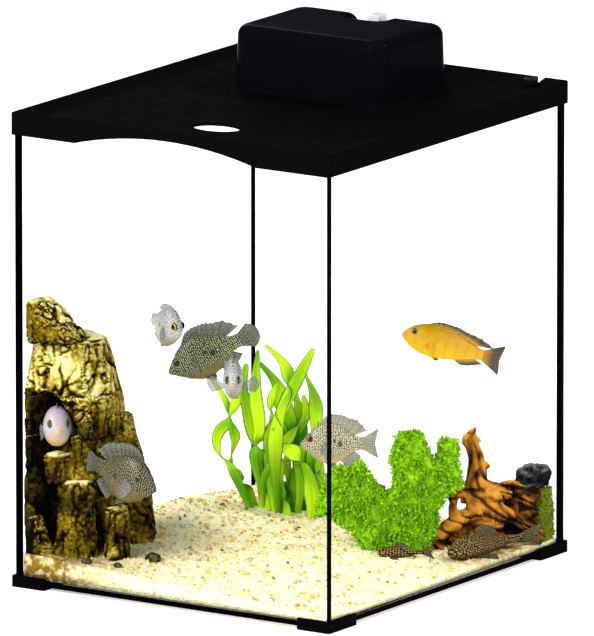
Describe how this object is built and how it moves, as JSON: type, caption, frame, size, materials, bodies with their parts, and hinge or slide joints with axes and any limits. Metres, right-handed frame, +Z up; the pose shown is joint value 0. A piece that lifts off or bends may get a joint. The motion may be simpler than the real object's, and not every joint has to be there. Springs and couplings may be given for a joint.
{
  "type": "small glass aquarium with hood",
  "caption": "Small glass aquarium with a black hood, a hood-mounted pump filter, lamp and an aquascape with fish.",
  "frame": {"origin": "centre of the footprint, on the surface that the corner feet stand on", "axes": "+Z up, +X to the right of the front pane, front faces -Y"},
  "size_m": [0.3, 0.345, 0.4309],
  "materials": {
    "clear_glass": "clear, polished",
    "black_silicone": "satin, black",
    "foot_plastic": "matte black",
    "hood_plastic": "fine-grained satin black",
    "housing_plastic": "polished blue-black",
    "inner_plastic": "moulded black",
    "pump_plastic": "moulded dark grey",
    "screw_steel": "stainless",
    "lamp_board": "white solder resist",
    "lamp_chip": "phosphor",
    "lamp_lens": "frosted clear",
    "button_plastic": "polished black",
    "clear_boot": "clear, glossy",
    "filter_foam": "open-cell foam",
    "sand": "cream sand with coloured grains",
    "stone": "rough golden stone",
    "dark_stone": "rough black lava",
    "pebble": "smooth pebbles",
    "root_wood": "weathered root",
    "moss": "fuzzy moss",
    "strap_leaf": "glossy leaf",
    "frond_leaf": "crinkled leaf",
    "grey_fish": "wet scales, pearl spots",
    "pale_fish": "wet scales, pale",
    "yellow_fish": "wet scales",
    "dark_fish": "armour plates, gold spots"
  },
  "bodies": {
    "tank": {"back_glass": "clear_glass", "base_seal": "black_silicone", "bottom_glass": "clear_glass", "cichlid_left": "pale_fish", "corner_foot_back_left": "foot_plastic", "corner_foot_back_right": "foot_plastic", "corner_foot_front_left": "foot_plastic", "corner_foot_front_right": "foot_plastic", "corner_moss": "moss", "corner_seal_back_left": "black_silicone", "corner_seal_back_right": "black_silicone", "corner_seal_front_left": "black_silicone", "corner_seal_front_right": "black_silicone", "driftwood": "root_wood", "frond_plant": "frond_leaf", "front_glass": "clear_glass", "lava_rock": "dark_stone", "left_glass": "clear_glass", "pebbles": "pebble", "pleco_hidden": "dark_fish", "pleco_large": "dark_fish", "pleco_small": "dark_fish", "right_glass": "clear_glass", "rock_column_back": "stone", "rock_column_front": "stone", "rock_column_right": "stone", "rock_foot": "stone", "rock_ledge": "stone", "rock_main": "stone", "rock_side_slab": "stone", "rock_top_slab": "stone", "sand_bed": "sand", "strap_plant": "strap_leaf"},
    "hood": {"hood_shell": "hood_plastic", "lamp_tray": "inner_plastic", "lamp_board": "lamp_board", "lamp_chips": "lamp_chip", "lamp_lens": "lamp_lens", "hood_screws": "screw_steel", "filter_box": "housing_plastic", "sponge_grid": "inner_plastic", "filter_sponge": "filter_foam", "pump_body": "pump_plastic", "pump_volute": "pump_plastic", "impeller_shaft": "screw_steel", "intake_tube": "inner_plastic", "intake_strainer": "inner_plastic", "lamp_switch_case": "inner_plastic"},
    "cover": {"pump_cover": "housing_plastic", "switch_body": "button_plastic", "switch_boot": "clear_boot"},
    "switch": {"switch_rocker": "button_plastic"},
    "button": {"lamp_button": "button_plastic"},
    "impeller": {"impeller": "pump_plastic"},
    "cichlid_high_swimmer": {"cichlid_high": "pale_fish"},
    "cichlid_large_swimmer": {"cichlid_large": "grey_fish"},
    "cichlid_middle_swimmer": {"cichlid_middle": "pale_fish"},
    "cichlid_low_swimmer": {"cichlid_low": "grey_fish"},
    "cichlid_right_swimmer": {"cichlid_right": "grey_fish"},
    "yellow_cichlid_swimmer": {"yellow_cichlid": "yellow_fish"}
  },
  "joints": [
    {"name": "hood_lift", "type": "slide", "parent": "tank", "child": "hood", "axis": [0, 0, 1], "range_m": [0, 0.12]},
    {"name": "cover_lift", "type": "slide", "parent": "hood", "child": "cover", "axis": [0, 0, 1], "range_m": [0, 0.06]},
    {"name": "switch_rock", "type": "hinge", "parent": "cover", "child": "switch", "pos_m": [0.0109, 0.1082, 0.4175], "axis": [1, 0, 0], "range_deg": [0, 14]},
    {"name": "lamp_button_press", "type": "slide", "parent": "hood", "child": "button", "axis": [0, 0, -1], "range_m": [0, 0.002], "stiffness_N_per_m": 800},
    {"name": "impeller_spin", "type": "hinge", "parent": "hood", "child": "impeller", "pos_m": [0.037, 0.0676, 0.365], "axis": [0, 0, 1], "continuous": true},
    {"name": "cichlid_high_swim", "type": "slide", "parent": "tank", "child": "cichlid_high_swimmer", "axis": [0.9397, -0.342, 0], "range_m": [-0.012, 0.02]},
    {"name": "cichlid_large_swim", "type": "slide", "parent": "tank", "child": "cichlid_large_swimmer", "axis": [-0.8345, -0.5511, 0], "range_m": [-0.006, 0.015]},
    {"name": "cichlid_middle_swim", "type": "slide", "parent": "tank", "child": "cichlid_middle_swimmer", "axis": [0.5299, -0.848, 0], "range_m": [-0.005, 0.02]},
    {"name": "cichlid_low_swim", "type": "slide", "parent": "tank", "child": "cichlid_low_swimmer", "axis": [0.9955, 0.0948, 0], "range_m": [-0.004, 0.02]},
    {"name": "cichlid_right_swim", "type": "slide", "parent": "tank", "child": "cichlid_right_swimmer", "axis": [-0.8345, -0.5511, 0], "range_m": [-0.015, 0.02]},
    {"name": "yellow_cichlid_swim", "type": "slide", "parent": "tank", "child": "yellow_cichlid_swimmer", "axis": [-0.8345, -0.5511, 0], "range_m": [0, 0.03]}
  ]
}
